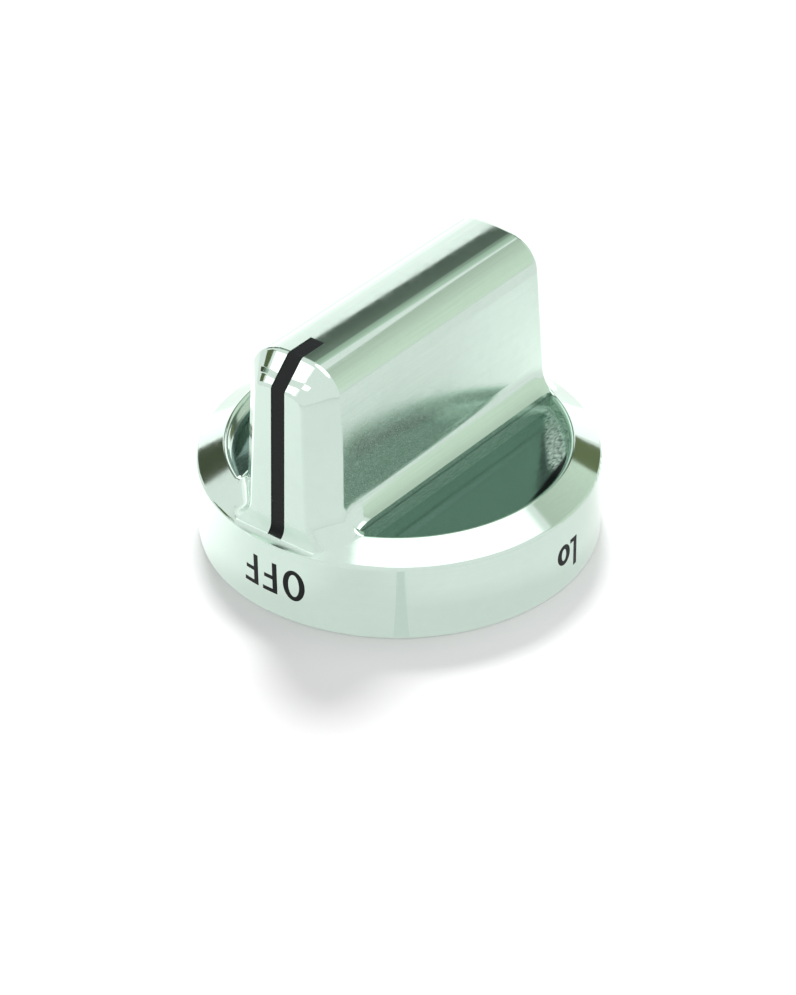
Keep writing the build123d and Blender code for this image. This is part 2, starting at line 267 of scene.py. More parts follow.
class StudioSettings(PropertyGroup):
    """Daylight, key lamp, softbox, floor and lens"""

    daylight: amount("Daylight", "Strength of the even light from all round", 0.30)
    key_power: amount("Key Power", "Power of the broad lamp behind the knob, in watts", 8.8)
    key_width: length("Key Width", "Width of the broad lamp behind the knob", 0.32)
    softbox: amount("Softbox", "Strength of the overhead softbox", 1.85)
    softbox_reach: length("Softbox Reach", "Half the width of the softbox", 0.42)
    softbox_height: length("Softbox Height", "Height of the softbox over the floor", 0.80)
    softbox_shift: length("Softbox Shift", "How far the softbox stands to the right and to the back", 0.13)
    floor_colour: tint("Floor", "Colour of the floor", (0.8, 0.8, 0.8))
    floor_lift: amount("Floor Lift", "Glow that brings the open floor to white for the camera", 0.15)
    lens: FloatProperty(
        name="Lens", description="Focal length in millimetres on a 36 mm frame", min=10.0, default=130.25,
    )


# Small helpers for directions and node trees


def toward(azimuth, elevation=0.0):
    """The direction at an azimuth in degrees from the pointer towards +X, and an elevation."""
    turn, rise = math.radians(azimuth), math.radians(elevation)
    return Vector((math.sin(turn) * math.cos(rise), -math.cos(turn) * math.cos(rise), math.sin(rise)))


def add(tree, kind, settings=None, inputs=None):
    """A new node with its own settings and with values or links for its inputs."""
    made = tree.nodes.new(kind)
    for key, value in (settings or {}).items():
        setattr(made, key, value)
    for key, value in (inputs or {}).items():
        if isinstance(value, bpy.types.NodeSocket):
            tree.links.new(value, made.inputs[key])
        else:
            made.inputs[key].default_value = value
    return made


def maths(tree, operation, first, second):
    """One step of arithmetic; each input is a number or a socket."""
    return add(tree, "ShaderNodeMath", {"operation": operation}, {0: first, 1: second}).outputs["Value"]


def vector_maths(tree, operation, first, second=None, scale=None):
    """One step of vector arithmetic that gives a vector."""
    inputs = {0: first}
    if second is not None:
        inputs[1] = second
    if scale is not None:
        inputs["Scale"] = scale
    return add(tree, "ShaderNodeVectorMath", {"operation": operation}, inputs).outputs["Vector"]


def step(tree, value, low, high):
    """A smooth rise from 0 at low to 1 at high."""
    made = add(
        tree, "ShaderNodeMapRange", {"interpolation_type": "SMOOTHSTEP"},
        {"Value": value, "From Min": low, "From Max": high},
    )
    return made.outputs["Result"]


def step_down(tree, value, low, high):
    """A smooth fall from 1 at low to 0 at high."""
    return maths(tree, "SUBTRACT", 1.0, step(tree, value, low, high))


def product(tree, first, *others):
    """Numbers or masks multiplied together."""
    result = first
    for other in others:
        result = maths(tree, "MULTIPLY", result, other)
    return result


def split(tree, vector):
    """The three parts of a vector, by the names X, Y and Z."""
    return add(tree, "ShaderNodeSeparateXYZ", None, {"Vector": vector}).outputs


def measure(tree, operation, first, second=None):
    """One step of vector arithmetic that gives a number."""
    inputs = {0: first} if second is None else {0: first, 1: second}
    return add(tree, "ShaderNodeVectorMath", {"operation": operation}, inputs).outputs["Value"]


def blend(tree, factor, first, second):
    """A mix of two numbers."""
    made = add(tree, "ShaderNodeMix", {"data_type": "FLOAT"}, {0: factor, 2: first, 3: second})
    return made.outputs[0]


def blend_colour(tree, factor, first, second):
    """A mix of two colours."""
    made = add(tree, "ShaderNodeMix", {"data_type": "RGBA"}, {0: factor, 6: first, 7: second})
    return made.outputs[2]


def noise(tree, vector, scale=1.0, detail=2.0, roughness=0.5):
    """Even noise about 0.5."""
    made = add(
        tree, "ShaderNodeTexNoise", {"noise_dimensions": "3D"},
        {"Vector": vector, "Scale": scale, "Detail": detail, "Roughness": roughness},
    )
    return made.outputs[0]


def stretched(tree, position, scale):
    """The position with each axis multiplied by its own number, which draws a pattern out."""
    return add(tree, "ShaderNodeMapping", None, {"Vector": position, "Scale": scale}).outputs["Vector"]


def rgba(colour, times=1.0):
    """A colour setting as the four numbers that a socket takes."""
    return (colour[0] * times, colour[1] * times, colour[2] * times, 1.0)


def new_group(name, inputs, outputs):
    """An empty node group with named sockets, and its input and output nodes."""
    tree = bpy.data.node_groups.new(name, "ShaderNodeTree")
    for label, kind in inputs:
        tree.interface.new_socket(name=label, in_out="INPUT", socket_type=kind)
    for label, kind in outputs:
        tree.interface.new_socket(name=label, in_out="OUTPUT", socket_type=kind)
    return tree, tree.nodes.new("NodeGroupInput"), tree.nodes.new("NodeGroupOutput")


def use_group(tree, group, inputs):
    """A node that places the group in a material, with its own values."""
    return add(tree, "ShaderNodeGroup", {"node_tree": group}, inputs)


# Effects that several materials share


def brushed_lines():
    """Fine parallel lines: tips the normal to either side of them and gives their light and dark."""
    name = "brushed_lines"
    if name in bpy.data.node_groups:
        return bpy.data.node_groups[name]
    tree, given, result = new_group(
        name,
        [
            ("Pattern", "NodeSocketVector"),
            ("Across", "NodeSocketVector"),
            ("Normal", "NodeSocketVector"),
            ("Tilt", "NodeSocketFloat"),
        ],
        [("Normal", "NodeSocketVector"), ("Line", "NodeSocketFloat")],
    )
    line = noise(tree, given.outputs["Pattern"], 1.0, 3.0, 0.6)
    centred = maths(tree, "SUBTRACT", line, 0.5)
    lean = maths(tree, "MULTIPLY", centred, given.outputs["Tilt"])
    sideways = vector_maths(tree, "SCALE", given.outputs["Across"], scale=lean)
    tipped = vector_maths(tree, "ADD", given.outputs["Normal"], sideways)
    tree.links.new(vector_maths(tree, "NORMALIZE", tipped), result.inputs["Normal"])
    tree.links.new(line, result.inputs["Line"])
    return tree


def handling():
    """Faint cloudy marks from wiping and fingers: a tone near 1 and an addition to roughness."""
    name = "handling"
    if name in bpy.data.node_groups:
        return bpy.data.node_groups[name]
    tree, given, result = new_group(
        name,
        [("Position", "NodeSocketVector"), ("Amount", "NodeSocketFloat")],
        [("Tone", "NodeSocketFloat"), ("Haze", "NodeSocketFloat")],
    )
    broad = noise(tree, given.outputs["Position"], CLOUD_CELLS, 3.0, 0.55)
    fine = noise(tree, given.outputs["Position"], SMEAR_CELLS, 2.0, 0.5)
    cloud = blend(tree, 0.3, broad, fine)
    rise = step(tree, cloud, *CLOUDS)
    haze = maths(tree, "MULTIPLY", rise, given.outputs["Amount"])
    shade = maths(tree, "MULTIPLY", haze, 0.5)
    tree.links.new(maths(tree, "SUBTRACT", 1.0, shade), result.inputs["Tone"])
    tree.links.new(haze, result.inputs["Haze"])
    return tree


def moulded_grain():
    """Shallow pebbled texture of a moulding tool or a bare casting, as a height from 0 to 1."""
    name = "moulded_grain"
    if name in bpy.data.node_groups:
        return bpy.data.node_groups[name]
    tree, given, result = new_group(
        name,
        [("Position", "NodeSocketVector"), ("Size", "NodeSocketFloat")],
        [("Height", "NodeSocketFloat"), ("Mottle", "NodeSocketFloat")],
    )
    per_metre = maths(tree, "DIVIDE", 1.0, given.outputs["Size"])
    pebbles = noise(tree, given.outputs["Position"], per_metre, 3.0, 0.55)
    broad = noise(tree, given.outputs["Position"], maths(tree, "MULTIPLY", per_metre, 0.08), 2.0, 0.5)
    tree.links.new(pebbles, result.inputs["Height"])
    tree.links.new(broad, result.inputs["Mottle"])
    return tree


def casting_place(tree, position, normal):
    """What the masks of the casting go by: heights, distances and the way the surface faces."""
    here, beside = split(tree, position), split(tree, vector_maths(tree, "ABSOLUTE", position))
    flat = vector_maths(tree, "MULTIPLY", position, (1.0, 1.0, 0.0))
    return SimpleNamespace(
        flat=flat,
        radius=measure(tree, "LENGTH", flat),
        height=here["Z"],
        back=here["Y"],
        left=maths(tree, "LESS_THAN", here["X"], 0.0),
        across=beside["X"],
        along=beside["Y"],
        facing=split(tree, normal)["Z"],
    )


def floor_mask(tree, place, shell):
    """The recess floor: low but above the back's ceiling, facing up, and inside the wall."""
    return product(
        tree,
        step_down(tree, place.height, *FLOOR_TOP),
        step(tree, place.height, *BACK_TOP),
        step(tree, place.facing, *LEVEL),
        maths(tree, "LESS_THAN", place.radius, shell.fall_end),
    )


def lip_mask(tree, place, shell):
    """The ring's lip, over the width on which it turns level."""
    return product(
        tree,
        step(tree, place.radius, *LIP_EDGE),
        step_down(tree, place.radius, LIP_RADIUS + shell.lip_ease, LIP_RADIUS + 2 * shell.lip_ease),
        step(tree, place.height, *LIP_BASE),
        step(tree, place.facing, *LEVEL),
    )


def wall_mask(tree, place):
    """The wall between the recess floor and the lip."""
    return product(
        tree,
        step(tree, place.height, *WALL_BASE),
        step_down(tree, place.height, *WALL_TOP),
        step(tree, place.across, *WALL_SIDE),
        maths(tree, "LESS_THAN", place.radius, LIP_RADIUS),
    )


def foot_mask(tree, place):
    """The small cove under each end of the grip."""
    return product(
        tree,
        step(tree, place.along, *FOOT_ALONG),
        step_down(tree, place.across, *FOOT_ACROSS),
        step_down(tree, place.height, *FOOT_TOP),
    )


def back_mask(tree, place):
    """The bare casting inside the rim, below the recess floor."""
    return product(
        tree, step_down(tree, place.radius, *BACK_WALL), step_down(tree, place.height, *BACK_TOP),
    )


def painted_shade_mask(tree, place, floor, crease_shade_share):
    """Painted shade: the dark line in the front corner of the recess and the fainter one under the long
    cove.
    """
    reach = measure(tree, "DOT_PRODUCT", place.flat, toward(CORNER_AZIMUTH))
    corner = product(tree, step(tree, reach, *CORNER_REACH), floor)
    crease_shade = product(
        tree,
        step(tree, place.height, *WALL_TOP),
        step_down(tree, place.height, *CREASE_TOP),
        maths(tree, "GREATER_THAN", place.across, CREASE_SIDE[0]),
        maths(tree, "LESS_THAN", place.across, CREASE_SIDE[1]),
        crease_shade_share,
    )
    return maths(tree, "MAXIMUM", corner, crease_shade)


def scuff_and_sheen_mask(tree, place, floor):
    """The far right end of the recess floor, where its brush lines are rougher and carry painted
    highlights.
    """
    beyond = measure(tree, "DOT_PRODUCT", place.flat, toward(FAR_RIGHT_AZIMUTH))
    return product(
        tree, step(tree, beyond, *SCUFF_SHEEN_REACH), step(tree, place.back, *SCUFF_SHEEN_BACK), floor,
    )


def casting_lean(tree, place, shell, floor, foot):
    """What is added to the normal: the floor falls, the lip levels, the wall and the end coves turn."""
    nearness = measure(tree, "DOT_PRODUCT", place.flat, toward(VIEW_AZIMUTH))
    far_left = product(tree, step_down(tree, nearness, *FAR_SIDE), place.left)

    fall = step(tree, place.radius, shell.fall_start, shell.fall_end)
    fall = product(tree, fall, far_left, floor, shell.fall_slope / shell.fall_end)
    level = product(tree, lip_mask(tree, place, shell), -RING_LEAN / LIP_RADIUS)
    outward = vector_maths(tree, "SCALE", place.flat, scale=maths(tree, "ADD", fall, level))

    inner_foot = product(tree, foot, step_down(tree, place.radius, *FOOT_RADIUS))
    steep = step_down(tree, place.facing, *STEEP)
    flatten = product(tree, inner_foot, steep, place.facing, -shell.cove_flatten)
    climb = product(tree, wall_mask(tree, place), far_left, shell.wall_climb)
    upward = add(tree, "ShaderNodeCombineXYZ", None, {"Z": maths(tree, "ADD", flatten, climb)})
    return vector_maths(tree, "ADD", outward, upward.outputs["Vector"])


def casting_zones(shell):
    """Where each finish of the casting lies, where shade and highlights are painted on it, and how its
    normals lean, from the place on it.
    """
    name = "casting_zones"
    if name in bpy.data.node_groups:
        return bpy.data.node_groups[name]
    masks = ("Rim", "Floor", "Back", "Foot", "Corner Shade", "Scuff And Sheen")
    tree, given, result = new_group(
        name,
        [("Position", "NodeSocketVector"), ("Normal", "NodeSocketVector")],
        [(mask, "NodeSocketFloat") for mask in masks] + [("Lean", "NodeSocketVector")],
    )
    place = casting_place(tree, given.outputs["Position"], given.outputs["Normal"])
    floor = floor_mask(tree, place, shell)
    foot = foot_mask(tree, place)
    found = {
        "Rim": step(tree, place.radius, *RIM_EDGE),
        "Floor": floor,
        "Back": back_mask(tree, place),
        "Foot": foot,
        "Corner Shade": painted_shade_mask(tree, place, floor, shell.crease_shade_share),
        "Scuff And Sheen": scuff_and_sheen_mask(tree, place, floor),
        "Lean": casting_lean(tree, place, shell, floor, foot),
    }
    for label, socket in found.items():
        tree.links.new(socket, result.inputs[label])
    return tree


# Materials


def start_material(name):
    """A new material with its tree, its shader and the position on the piece."""
    material = bpy.data.materials.new(name)
    material.use_nodes = True
    tree = material.node_tree
    position = add(tree, "ShaderNodeTexCoord").outputs["Object"]
    return material, tree, tree.nodes["Principled BSDF"], position


def shell_normal(tree, position, normal, shell, zones, flank):
    """The casting's normal with its lines and grain, and the light and dark of the lines."""
    rim, floor, back = (zones.outputs[name] for name in ("Rim", "Floor", "Back"))
    leaning = vector_maths(tree, "ADD", normal, zones.outputs["Lean"])
    turned = use_group(tree, brushed_lines(), {
        "Pattern": stretched(tree, position, (TURNING_CELLS, TURNING_CELLS, 1.0 / shell.rim_line)),
        "Across": (0.0, 0.0, 1.0),
        "Normal": leaning,
        "Tilt": maths(tree, "MULTIPLY", rim, shell.rim_tilt),
    })
    tilt = blend(tree, floor, blend(tree, flank, shell.polish_tilt, shell.flank_tilt), shell.floor_tilt)
    brushing = 1.0 / shell.brush_line
    brushed = use_group(tree, brushed_lines(), {
        "Pattern": stretched(tree, position, (brushing, BRUSHING_CELLS, brushing)),
        "Across": (1.0, 0.0, 1.0),
        "Normal": turned.outputs["Normal"],
        "Tilt": maths(tree, "MULTIPLY", tilt, maths(tree, "SUBTRACT", 1.0, rim)),
    })
    cast = use_group(tree, moulded_grain(), {"Position": position, "Size": shell.cast_grain})
    bump = add(tree, "ShaderNodeBump", None, {
        "Strength": 0.5, "Distance": 0.04 * MM, "Normal": brushed.outputs["Normal"],
        "Height": maths(tree, "MULTIPLY", cast.outputs["Height"], back),
    })
    line = blend(tree, rim, brushed.outputs["Line"], turned.outputs["Line"])
    return bump.outputs["Normal"], line


def shell_material(shell):
    """Polished metal with a turned rim, a darker brushed recess floor and a dull bare back."""
    material, tree, shader, position = start_material("shell_metal")
    normal = add(tree, "ShaderNodeNewGeometry").outputs["Normal"]
    zones = use_group(tree, casting_zones(shell), {"Position": position, "Normal": normal})
    rim, floor, back = (zones.outputs[name] for name in ("Rim", "Floor", "Back"))
    marks = use_group(tree, handling(), {"Position": position, "Amount": 0.05})
    side = split(tree, vector_maths(tree, "ABSOLUTE", normal))["X"]
    flank = step(tree, side, *FLANK)
    lined_normal, line = shell_normal(tree, position, normal, shell, zones, flank)
    tree.links.new(lined_normal, shader.inputs["Normal"])

    # Scuffed streaks at the floor's far right end: rougher, and painted in the pale polished colour as
    # highlights
    streaks = noise(tree, stretched(tree, position, STREAK_CELLS), 1.0, 2.0, 0.6)
    scuff_and_sheen = product(tree, zones.outputs["Scuff And Sheen"], step(tree, streaks, *STREAKS))
    colour = blend_colour(tree, floor, rgba(shell.metal), rgba(shell.floor_metal))
    colour = blend_colour(tree, scuff_and_sheen, colour, rgba(shell.metal))
    # Painted shade: dark lines in the recess's front corner and under the grip's long cove
    colour = blend_colour(tree, zones.outputs["Corner Shade"], colour, rgba(shell.corner_shade))
    colour = blend_colour(tree, back, colour, rgba(shell.bare_metal))
    contrast, darkest = 0.12, 0.94
    line_tone = maths(tree, "ADD", maths(tree, "MULTIPLY", line, contrast), darkest)
    tone = maths(tree, "MULTIPLY", marks.outputs["Tone"], line_tone)
    tree.links.new(vector_maths(tree, "SCALE", colour, scale=tone), shader.inputs["Base Color"])

    speckle = noise(tree, position, 1.0 / shell.speckle, 1.0, 0.5)
    haze = shell.haze_roughness
    flank_haze = blend(tree, step(tree, speckle, *FLANK_GRAINS), shell.flank_roughness, haze)
    floor_haze = blend(tree, step(tree, speckle, *FLOOR_GRAINS), shell.floor_roughness, haze)
    rough = blend(tree, flank, shell.polish, flank_haze)
    rough = blend(tree, zones.outputs["Foot"], rough, shell.foot_roughness)
    rough = blend(tree, rim, rough, shell.rim_roughness)
    rough = blend(tree, floor, rough, floor_haze)
    rough = blend(tree, scuff_and_sheen, rough, shell.scuff_roughness)
    rough = blend(tree, back, rough, shell.back_roughness)
    tree.links.new(maths(tree, "ADD", rough, marks.outputs["Haze"]), shader.inputs["Roughness"])
    shader.inputs["Metallic"].default_value = 1.0
    return material


def gloss_black_material(name, colour, roughness):
    """Black enamel or ink with a faint cloudiness in its gloss."""
    material, tree, shader, position = start_material(name)
    marks = use_group(tree, handling(), {"Position": position, "Amount": 0.10})
    cloud = blend_colour(tree, marks.outputs["Haze"], rgba(colour), rgba(colour, 2.0))
    tree.links.new(cloud, shader.inputs["Base Color"])
    tree.links.new(maths(tree, "ADD", marks.outputs["Haze"], roughness), shader.inputs["Roughness"])
    shader.inputs["Specular IOR Level"].default_value = 0.16
    return material


def insert_material(insert):
    """Dark moulded plastic with a fine pebbled texture."""
    material, tree, shader, position = start_material("insert_plastic")
    grain = use_group(tree, moulded_grain(), {"Position": position, "Size": insert.grain})
    dark, pale = rgba(insert.plastic, 0.8), rgba(insert.plastic, 1.35)
    mottled = blend_colour(tree, grain.outputs["Mottle"], dark, pale)
    tree.links.new(mottled, shader.inputs["Base Color"])
    swing = 0.16
    uneven = maths(tree, "MULTIPLY", grain.outputs["Height"], swing)
    tree.links.new(maths(tree, "ADD", uneven, insert.roughness - swing / 2), shader.inputs["Roughness"])
    bump = add(tree, "ShaderNodeBump", None, {
        "Strength": 0.35, "Distance": 0.03 * MM, "Height": grain.outputs["Height"],
    })
    tree.links.new(bump.outputs["Normal"], shader.inputs["Normal"])
    return material


def steel_material(name, colour, line, roughness, along):
    """Bright steel with rolling or turning lines along one axis."""
    material, tree, shader, position = start_material(name)
    normal = add(tree, "ShaderNodeNewGeometry").outputs["Normal"]
    marks = use_group(tree, handling(), {"Position": position, "Amount": 0.12})
    spread = [1.0 / line] * 3
    spread["XYZ".index(along)] = ROLLING_CELLS
    across = (1.0, 0.0, 0.0) if along != "X" else (0.0, 1.0, 0.0)
    lines = use_group(tree, brushed_lines(), {
        "Pattern": stretched(tree, position, spread), "Across": across, "Normal": normal, "Tilt": 0.1,
    })
    tree.links.new(lines.outputs["Normal"], shader.inputs["Normal"])
    toned = vector_maths(tree, "SCALE", colour, scale=marks.outputs["Tone"])
    tree.links.new(toned, shader.inputs["Base Color"])
    tree.links.new(maths(tree, "ADD", marks.outputs["Haze"], roughness), shader.inputs["Roughness"])
    shader.inputs["Metallic"].default_value = 1.0
    return material


def dress(node, material):
    """Gives a CAD node its finish."""
    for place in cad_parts[node].material_slots:
        place.material = material


class KNOB_OT_finish_shell(Operator):
    """Finish the casting: polished grip and ring, turned rim, brushed recess floor, bare back"""

    bl_idname = "knob.finish_shell"
    bl_label = "Finish Shell"

    def execute(self, context):
        dress("knob_shell", shell_material(context.scene.knob_shell))
        return {"FINISHED"}


class KNOB_OT_finish_pointer(Operator):
    """Finish the black pointer line in the grip's nose"""

    bl_idname = "knob.finish_pointer"
    bl_label = "Finish Pointer"

    def execute(self, context):
        pointer = context.scene.knob_pointer
        dress("pointer_inlay", gloss_black_material("pointer_black", pointer.black, pointer.gloss))
        return {"FINISHED"}


class KNOB_OT_finish_insert(Operator):
    """Finish the moulded insert that takes the stove's stem"""

    bl_idname = "knob.finish_insert"
    bl_label = "Finish Insert"

    def execute(self, context):
        dress("stem_insert", insert_material(context.scene.knob_insert))
        return {"FINISHED"}


class KNOB_OT_finish_hardware(Operator):
    """Finish the spring clip and the two fixing screws"""

    bl_idname = "knob.finish_hardware"
    bl_label = "Finish Clip and Screws"

    def execute(self, context):
        hardware = context.scene.knob_hardware
        spring = steel_material("spring_steel", hardware.spring, hardware.rolling_line, 0.2, "Z")
        zinc = steel_material("zinc_plate", hardware.zinc, hardware.rolling_line, 0.3, "X")
        dress("spring_clip", spring)
        dress("fixing_screw_1", zinc)
        dress("fixing_screw_2", zinc)
        return {"FINISHED"}


# Rim lettering


def face_from(mesh, outline):
    """One flat face through the outline's few points."""
    return mesh.faces.new([mesh.verts.new((across, up, 0.0)) for across, up in outline])


def letter_f(mesh, words, left, width, height):
    """A capital F: stem, long arm at the top, short arm at the middle."""
    stem, arm = words.stem, words.arm
    middle = height * 0.56
    short = width * 0.88
    face_from(mesh, [
        (left, 0.0), (left + stem, 0.0), (left + stem, middle - arm), (left + short, middle - arm),
        (left + short, middle), (left + stem, middle), (left + stem, height - arm),
        (left + width, height - arm), (left + width, height), (left, height),
    ])


def letter_l(mesh, words, left, width, height):
    """A capital L: stem and foot."""
    stem, arm = words.stem, words.arm
    face_from(mesh, [
        (left, 0.0), (left + width, 0.0), (left + width, arm), (left + stem, arm),
        (left + stem, height), (left, height),
    ])


def letter_o(mesh, words, left, width, height):
    """A round O, upper or lower case: an oval ring a little thinner at top and bottom."""
    middle = Matrix.Translation((left + width / 2, height / 2, 0.0))
    side_band, end_band = words.stem + 0.08 * MM, words.arm + 0.05 * MM
    rings = []
    for inset_side, inset_end in ((0.0, 0.0), (side_band, end_band)):
        size = Matrix.Diagonal((width / 2 - inset_side, height / 2 - inset_end, 1.0, 1.0))
        made = bmesh.ops.create_circle(mesh, segments=words.ring_points, radius=1.0, matrix=middle @ size)
        rings += list({edge for vertex in made["verts"] for edge in vertex.link_edges})
    bmesh.ops.bridge_loops(mesh, edges=rings)


def cut_into_strips(mesh, low, high, width):
    """Cuts the flat letters into upright strips so that they can follow the rim."""
    count = int((high - low) / width)
    for index in range(1, count):
        place = low + (high - low) * index / count
        geometry = mesh.verts[:] + mesh.edges[:] + mesh.faces[:]
        bmesh.ops.bisect_plane(mesh, geom=geometry, dist=1e-7, plane_co=(place, 0, 0), plane_no=(1, 0, 0))


def wrap_on_rim(mesh, start, base):
    """Rolls the flat letters round the rim; reading runs from +X towards -X, tops point down."""
    for vertex in mesh.verts:
        turn = (start - vertex.co.x) / RIM_RADIUS
        out = RIM_RADIUS + vertex.co.z
        vertex.co = Vector((math.sin(turn) * out, -math.cos(turn) * out, base - vertex.co.y))


def print_word(name, words, letters, start, base, material):
    """Prints one word on the rim; each letter has its drawing, width, height and the space after it."""
    mesh = bmesh.new()
    left = 0.0
    for draw, width, height, space in letters:
        draw(mesh, words, left, width, height)
        left += width + space
    cut_into_strips(mesh, 0.0, left, words.strip)
    raised = bmesh.ops.extrude_face_region(mesh, geom=mesh.faces[:])
    top = [item for item in raised["geom"] if isinstance(item, bmesh.types.BMVert)]
    bmesh.ops.translate(mesh, verts=mesh.verts[:], vec=(0, 0, -words.ink_root))
    bmesh.ops.translate(mesh, verts=top, vec=(0, 0, words.ink_root + words.ink_rise))
    wrap_on_rim(mesh, start, base)
    bmesh.ops.recalc_face_normals(mesh, faces=mesh.faces[:])
    data = bpy.data.meshes.new(name)
    mesh.to_mesh(data)
    mesh.free()
    piece = bpy.data.objects.new(name, data)
    bpy.context.scene.collection.objects.link(piece)
    data.materials.append(material)
    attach(piece, "root")


class KNOB_OT_print_words(Operator):
    """Print OFF under the pointer and Lo a quarter turn away, upside down on the rim"""

    bl_idname = "knob.print_words"
    bl_label = "Print Rim Words"

    def execute(self, context):
        words = context.scene.knob_lettering
        ink = gloss_black_material("rim_ink", context.scene.knob_pointer.ink, 0.4)
        cap, low = words.cap_height, words.low_height
        print_word("word_off", words, [
            (letter_o, 3.1 * MM, cap, 0.9 * MM),
            (letter_f, 2.27 * MM, cap, 0.74 * MM),
            (letter_f, 2.27 * MM, cap, 0.0),
        ], start=5.30 * MM, base=7.80 * MM, material=ink)
        print_word("word_lo", words, [
            (letter_l, 1.45 * MM, low, 0.1 * MM),
            (letter_o, 2.5 * MM, low * 0.7, 0.0),
        ], start=43.15 * MM, base=6.72 * MM, material=ink)
        return {"FINISHED"}


# Stage


def flat_panel(name, centre, across, up, half_width, half_height, material):
    """A rectangular panel with its place in its mesh."""
    facing = across.cross(up)
    turn = Matrix((across, up, facing)).transposed().to_4x4()
    place = Matrix.Translation(centre) @ turn @ Matrix.Diagonal((half_width, half_height, 1.0, 1.0))
    mesh = bmesh.new()
    bmesh.ops.create_grid(mesh, x_segments=1, y_segments=1, size=1.0, matrix=place)
    data = bpy.data.meshes.new(name)
    mesh.to_mesh(data)
    mesh.free()
    data.materials.append(material)
    panel = bpy.data.objects.new(name, data)
    bpy.context.scene.collection.objects.link(panel)
    return panel


def reflect_only(panel):
    """Leaves a panel out of everything but reflections."""
    panel.visible_camera = False
    panel.visible_diffuse = False
    panel.visible_shadow = False


def upright_card(name, azimuth, distance, half_width, bottom, top, material):
    """A card that stands on edge facing the knob and shows in its reflections only."""
    middle = toward(azimuth) * distance + Vector((0, 0, (bottom + top) / 2))
    across = Vector((-toward(azimuth).y, toward(azimuth).x, 0.0))
    up = Vector((0, 0, 1))
    reflect_only(flat_panel(name, middle, across, up, half_width, (top - bottom) / 2, material))


def glow_material(name, colour, strength):
    """A card's glow; strength is a number, or a function of the tree and the position."""
    material = bpy.data.materials.new(name)
    material.use_nodes = True
    tree = material.node_tree
    tree.nodes.remove(tree.nodes["Principled BSDF"])
    position = add(tree, "ShaderNodeTexCoord").outputs["Object"]
    level = strength(tree, position) if callable(strength) else strength
    glow = add(tree, "ShaderNodeEmission", None, {"Color": rgba(colour), "Strength": level})
    tree.links.new(glow.outputs["Emission"], tree.nodes["Material Output"].inputs["Surface"])
    return material


def rising(levels):
    """A strength that follows height, through pairs of height and level."""
    def strength(tree, position):
        height = split(tree, position)["Z"]
        result = levels[0][1]
        for (low, before), (high, after) in zip(levels, levels[1:]):
            climb = step(tree, height, low, high)
            climb.node.interpolation_type = "LINEAR"
            change = maths(tree, "MULTIPLY", climb, after - before)
            result = maths(tree, "ADD", change, result)
        return result
    return strength


def soft_edged(centre, reach, level, even):
    """Full strength over the even share of the reach, falling to the surroundings' strength at its end."""
    def strength(tree, position):
        away = measure(tree, "DISTANCE", position, centre)
        fade = step(tree, away, reach * even, reach * PAST_REACH)
        return blend(tree, fade, level, 1.0)
    return strength


def mirrored_floor(tree, position):
    """The level that the floor shows to gloss: brighter on the left and close to the knob."""
    right = step(tree, split(tree, position)["X"], *MIRRORED_WIDTH)
    level = blend(tree, right, MIRRORED_LEFT, MIRRORED_RIGHT)
    near = step_down(tree, measure(tree, "LENGTH", position), *EXTRA_RADIUS)
    beside = step(tree, measure(tree, "DOT_PRODUCT", position, EXTRA_DIRECTION), *EXTRA_SIDE)
    return maths(tree, "ADD", level, product(tree, near, beside, MIRRORED_EXTRA))


def make_floor(studio):
    """A wide pale floor that keeps the shadow; gloss and glass rays see it nearly white."""
    material, tree, shader, position = start_material("stage_floor")
    tooth = noise(tree, position, FLOOR_CELLS, 2.0, 0.5)
    duller = rgba(studio.floor_colour, 0.985)
    colour = blend_colour(tree, tooth, duller, rgba(studio.floor_colour))
    tree.links.new(colour, shader.inputs["Base Color"])
    shader.inputs["Roughness"].default_value = 0.9
    shader.inputs["Specular IOR Level"].default_value = 0.0

    path = add(tree, "ShaderNodeLightPath")
    lift = add(tree, "ShaderNodeEmission", None, {
        "Strength": maths(tree, "MULTIPLY", path.outputs["Is Camera Ray"], studio.floor_lift),
    })
    seen = add(tree, "ShaderNodeAddShader", None, {0: shader.outputs["BSDF"], 1: lift.outputs["Emission"]})
    white = add(tree, "ShaderNodeEmission", None, {"Strength": mirrored_floor(tree, position)})
    mirrored = maths(tree, "MAXIMUM", path.outputs["Is Glossy Ray"], path.outputs["Is Transmission Ray"])
    floor = add(tree, "ShaderNodeMixShader", None, {
        0: maths(tree, "MULTIPLY", mirrored, MIRRORED_SHARE),
        1: seen.outputs["Shader"],
        2: white.outputs["Emission"],
    })
    tree.links.new(floor.outputs["Shader"], tree.nodes["Material Output"].inputs["Surface"])
    along, back = Vector((1, 0, 0)), Vector((0, 1, 0))
    flat_panel("floor", Vector((0, 0, 0)), along, back, FLOOR_HALF, FLOOR_HALF, material)


def make_key(studio):
    """A broad lamp high behind the knob, which throws the soft shadow forwards."""
    lamp = bpy.data.lights.new("key", "AREA")
    lamp.shape = "DISK"
    lamp.size = studio.key_width
    lamp.energy = studio.key_power
    key = bpy.data.objects.new("key", lamp)
    key.location = toward(KEY_AZIMUTH, KEY_ELEVATION)
    key.rotation_euler = toward(KEY_AZIMUTH, KEY_ELEVATION).to_track_quat("Z", "Y").to_euler()
    bpy.context.scene.collection.objects.link(key)
    key.visible_camera = False
    key.visible_glossy = False


def make_world(studio):
    """Even light all round; camera, gloss and glass rays see plain white."""
    world = bpy.data.worlds.new("studio")
    world.use_nodes = True
    tree = world.node_tree
    path = add(tree, "ShaderNodeLightPath")
    seen = maths(tree, "MAXIMUM", path.outputs["Is Camera Ray"], path.outputs["Is Glossy Ray"])
    seen = maths(tree, "MAXIMUM", seen, path.outputs["Is Transmission Ray"])
    background = tree.nodes["Background"]
    background.inputs["Color"].default_value = (1.0, 1.0, 1.0, 1.0)
    tree.links.new(blend(tree, seen, studio.daylight, 1.0), background.inputs["Strength"])
    bpy.context.scene.world = world


